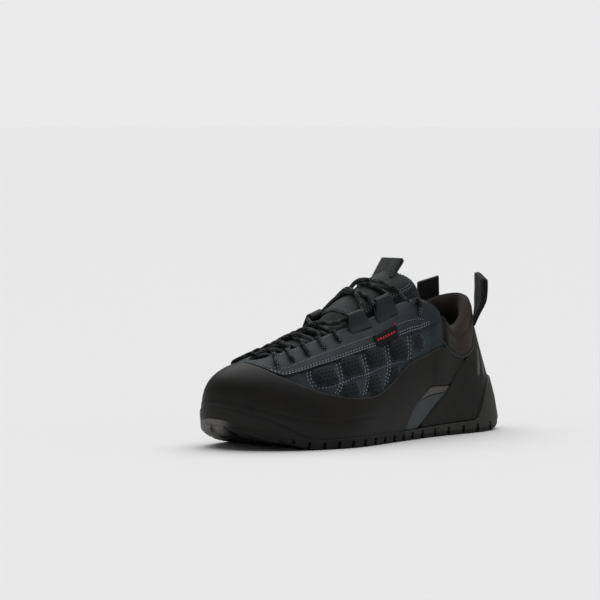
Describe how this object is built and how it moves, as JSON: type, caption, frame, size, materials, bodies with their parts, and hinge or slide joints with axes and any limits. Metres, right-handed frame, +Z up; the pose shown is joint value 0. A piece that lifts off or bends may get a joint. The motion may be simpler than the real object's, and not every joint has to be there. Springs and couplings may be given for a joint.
{
  "type": "approach shoe",
  "caption": "Low left approach shoe with a rubber rand and toe cap, lace-to-toe throat, padded collar, pull loops and a lugged sole; hollow and open at the collar.",
  "frame": {"origin": "middle of the bottom of the whole shoe's box, on the floor that the sole stands on", "axes": "+X to the toe, +Y to the wearer's left, which is the outer side of this left shoe, +Z up"},
  "size_m": [0.2794, 0.1038, 0.1353],
  "materials": {
    "tread": "matte dark grey sole rubber",
    "rubber": "smooth satin black rand rubber",
    "foam": "matte grey moulded foam",
    "footbed": "brushed black footbed cloth",
    "suede": "dark slate suede",
    "lacing_strip": "smooth bluish grey synthetic leather",
    "collar_mesh": "padded brown-black mesh",
    "webbing": "woven black polyester"
  },
  "bodies": {
    "root": {"outsole": "tread", "midsole": "foam", "insole": "footbed", "upper": "suede", "rand": "rubber", "heel_counter": "rubber", "arch_band_outer": "foam", "arch_band_inner": "foam", "eyestay": "lacing_strip", "label": "webbing", "collar": "collar_mesh", "tongue": "collar_mesh", "tongue_panel": "lacing_strip", "tongue_tab": "webbing", "pull_loop_outer": "webbing", "pull_loop_inner": "webbing", "lace_loop_front_outer": "lacing_strip", "lace_loop_front_inner": "lacing_strip", "lace_loop_rear_outer": "lacing_strip", "lace_loop_rear_inner": "lacing_strip", "lace": "webbing"}
  },
  "joints": []
}
